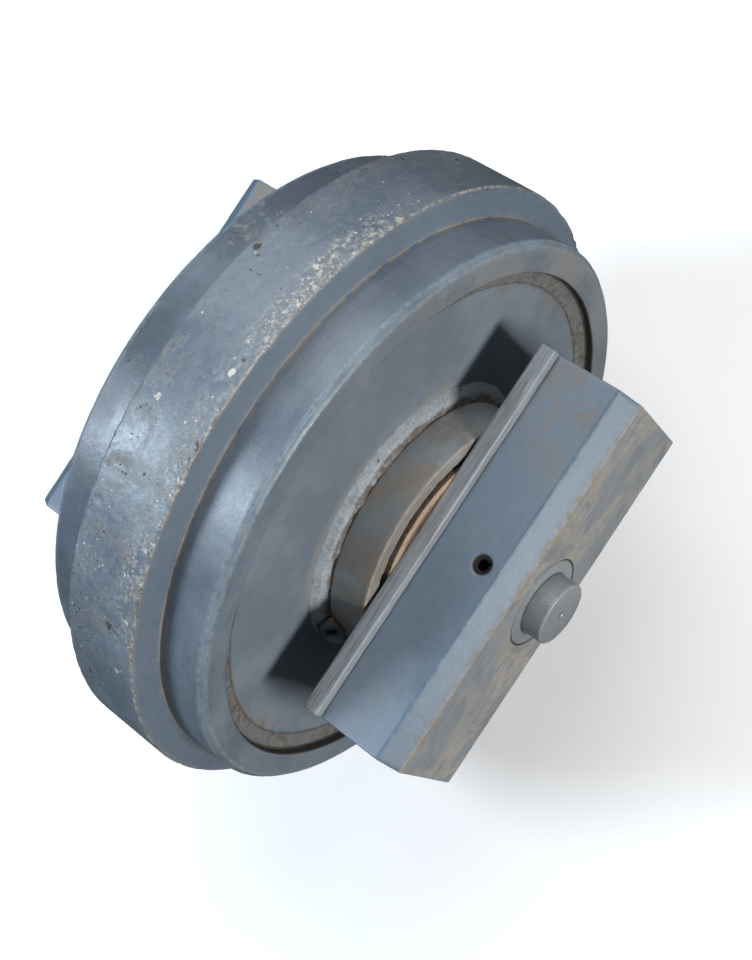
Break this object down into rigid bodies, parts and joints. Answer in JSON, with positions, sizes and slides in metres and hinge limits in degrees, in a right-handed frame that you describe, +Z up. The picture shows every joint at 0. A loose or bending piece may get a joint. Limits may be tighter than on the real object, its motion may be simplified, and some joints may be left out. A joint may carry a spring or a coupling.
{
  "type": "track front idler",
  "caption": "Flanged guide wheel on a fixed shaft with two slide brackets; it turns the track chain round the front of a crawler undercarriage.",
  "frame": {"origin": "centre of the wheel, on the shaft's axis", "axes": "+Y along the shaft towards the left side, +X fore and aft along the brackets, +Z up"},
  "size_m": [0.592, 0.48, 0.592],
  "materials": {
    "rim_paint": "semi-gloss slate blue-grey, worn light on the edges",
    "flange_paint": "scuffed blue-grey paint with pale stone grit, chips and pits",
    "web_paint": "satin slate grey with dust in the corner",
    "hub_paint": "dull paint, brown grease and dirt",
    "weld_paint": "thin silvery paint over a rippled weld bead",
    "bracket_paint": "satin blue-grey with dusty smears and small rust spots",
    "guide_paint": "thin paint over a cut plate edge, worn bright on the corner",
    "housing_paint": "rust showing through thin paint",
    "shaft_steel": "smooth thin paint over turned steel, light rust on the end",
    "pin_steel": "dark oxidised spring steel",
    "copper_washer": "dull copper",
    "bush_bronze": "machined bronze lining",
    "seal_iron": "cast iron with a lapped face",
    "seal_rubber": "smooth oil-wet rubber"
  },
  "bodies": {
    "carrier": {"idler_shaft": "shaft_steel", "right_bracket": "bracket_paint", "left_bracket": "bracket_paint", "right_guide_plate": "guide_paint", "left_guide_plate": "guide_paint", "right_seal_housing": "housing_paint", "left_seal_housing": "housing_paint", "right_fixed_seal_ring": "seal_iron", "left_fixed_seal_ring": "seal_iron", "right_fixed_toric": "seal_rubber", "left_fixed_toric": "seal_rubber", "right_shaft_oring": "seal_rubber", "left_shaft_oring": "seal_rubber", "right_lock_pin": "pin_steel", "left_lock_pin": "pin_steel"},
    "wheel": {"tread_rim": "rim_paint", "centre_flange": "flange_paint", "right_web_disc": "web_paint", "left_web_disc": "web_paint", "wheel_hub": "hub_paint", "right_hub_weld": "weld_paint", "left_hub_weld": "weld_paint", "right_rim_weld": "weld_paint", "left_rim_weld": "weld_paint", "oil_plug": "pin_steel", "oil_plug_washer": "copper_washer", "right_bush": "bush_bronze", "left_bush": "bush_bronze", "right_turning_seal_ring": "seal_iron", "left_turning_seal_ring": "seal_iron", "right_turning_toric": "seal_rubber", "left_turning_toric": "seal_rubber"}
  },
  "joints": [
    {"name": "wheel_spin", "type": "hinge", "parent": "carrier", "child": "wheel", "pos_m": [0, 0, 0], "axis": [0, 1, 0], "continuous": true}
  ]
}
